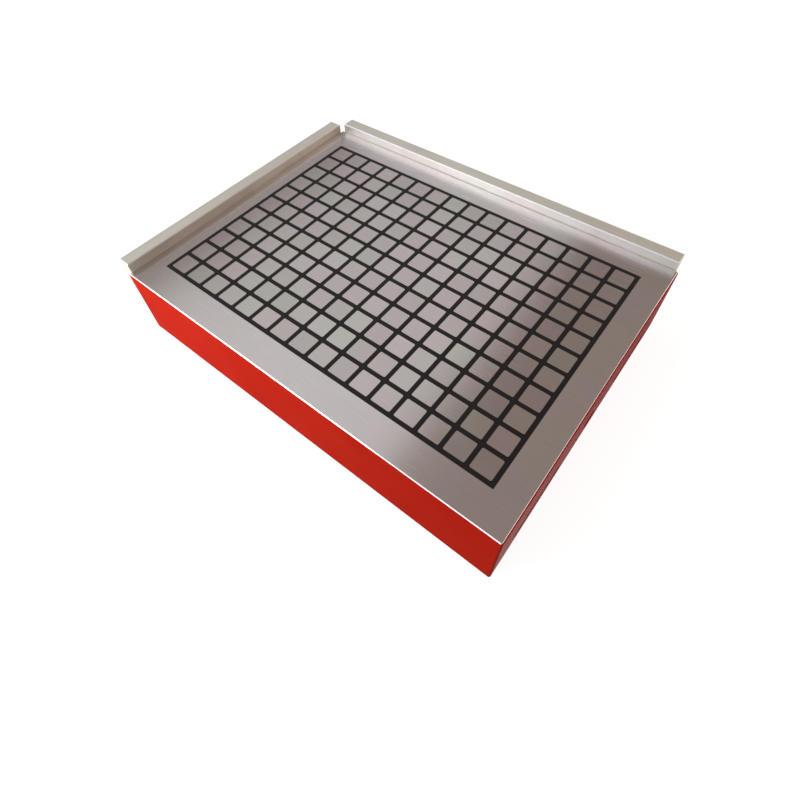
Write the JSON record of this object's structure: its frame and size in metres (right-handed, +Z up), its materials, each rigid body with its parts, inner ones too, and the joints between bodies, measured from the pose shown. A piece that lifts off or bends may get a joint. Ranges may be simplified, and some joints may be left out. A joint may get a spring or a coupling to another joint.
{
  "type": "magnetic chuck",
  "caption": "Rectangular permanent magnetic chuck with square poles set in black resin, a red housing, two stop rails and a hex socket that switches the magnets.",
  "frame": {"origin": "centre of the underside of the housing", "axes": "+Z up from the underside to the working face, +X along the long side to the end with the hex socket, +Y to the side with the long stop rail"},
  "size_m": [0.414, 0.314, 0.084],
  "materials": {
    "red_enamel": "glossy enamel on the sides, ground bare steel on the top face",
    "ground_steel": "surface ground",
    "black_resin": "cast resin, ground flush",
    "rail_steel": "surface ground",
    "plate_steel": "milled",
    "turned_steel": "turned",
    "black_screw_steel": "black oxide",
    "sheet_brass": "rolled",
    "bush_bronze": "turned",
    "frame_aluminium": "milled",
    "north_magnet": "nickel plated",
    "south_magnet": "nickel plated",
    "ferrite": "pressed and sintered",
    "seal_rubber": "matt"
  },
  "bodies": {
    "housing_body": {"housing": "red_enamel", "socket_cover": "red_enamel", "pole_row_01": "ground_steel", "pole_row_02": "ground_steel", "pole_row_03": "ground_steel", "pole_row_04": "ground_steel", "pole_row_05": "ground_steel", "pole_row_06": "ground_steel", "pole_row_07": "ground_steel", "pole_row_08": "ground_steel", "pole_row_09": "ground_steel", "pole_row_10": "ground_steel", "pole_row_11": "ground_steel", "resin_grid": "black_resin", "base_plate": "plate_steel", "bearing_block": "plate_steel", "left_stop_screws": "black_screw_steel", "back_stop_screws": "black_screw_steel", "separator_sheet": "sheet_brass", "guide_strip_left": "sheet_brass", "guide_strip_right": "sheet_brass", "shaft_bush": "bush_bronze", "end_bush": "bush_bronze", "fixed_magnets": "ferrite", "base_seal": "seal_rubber", "shaft_seal": "seal_rubber"},
    "magnet_tray": {"tray_yoke": "plate_steel", "tray_frame": "frame_aluminium", "moving_magnets_north": "north_magnet", "moving_magnets_south": "south_magnet", "drive_rack_left": "turned_steel", "drive_rack_right": "turned_steel"},
    "switch_shaft_body": {"switch_shaft": "turned_steel", "stop_pin": "turned_steel"},
    "left_stop": {"left_stop_rail": "rail_steel"},
    "back_stop": {"back_stop_rail": "rail_steel"}
  },
  "joints": [
    {"name": "magnet_tray_slide", "type": "slide", "parent": "housing_body", "child": "magnet_tray", "axis": [0, 1, 0], "range_m": [0, 0.022]},
    {"name": "switch_shaft_turn", "type": "hinge", "parent": "housing_body", "child": "switch_shaft_body", "pos_m": [0.199, 0, 0.023], "axis": [-1, 0, 0], "range_deg": [0, 180]},
    {"name": "left_stop_height", "type": "slide", "parent": "housing_body", "child": "left_stop", "axis": [0, 0, 1], "range_m": [-0.01, 0]},
    {"name": "back_stop_height", "type": "slide", "parent": "housing_body", "child": "back_stop", "axis": [0, 0, 1], "range_m": [-0.01, 0]}
  ],
  "couplings": [
    {"joint": "switch_shaft_turn", "follows": "magnet_tray_slide", "rad_per_m": 142.8}
  ]
}
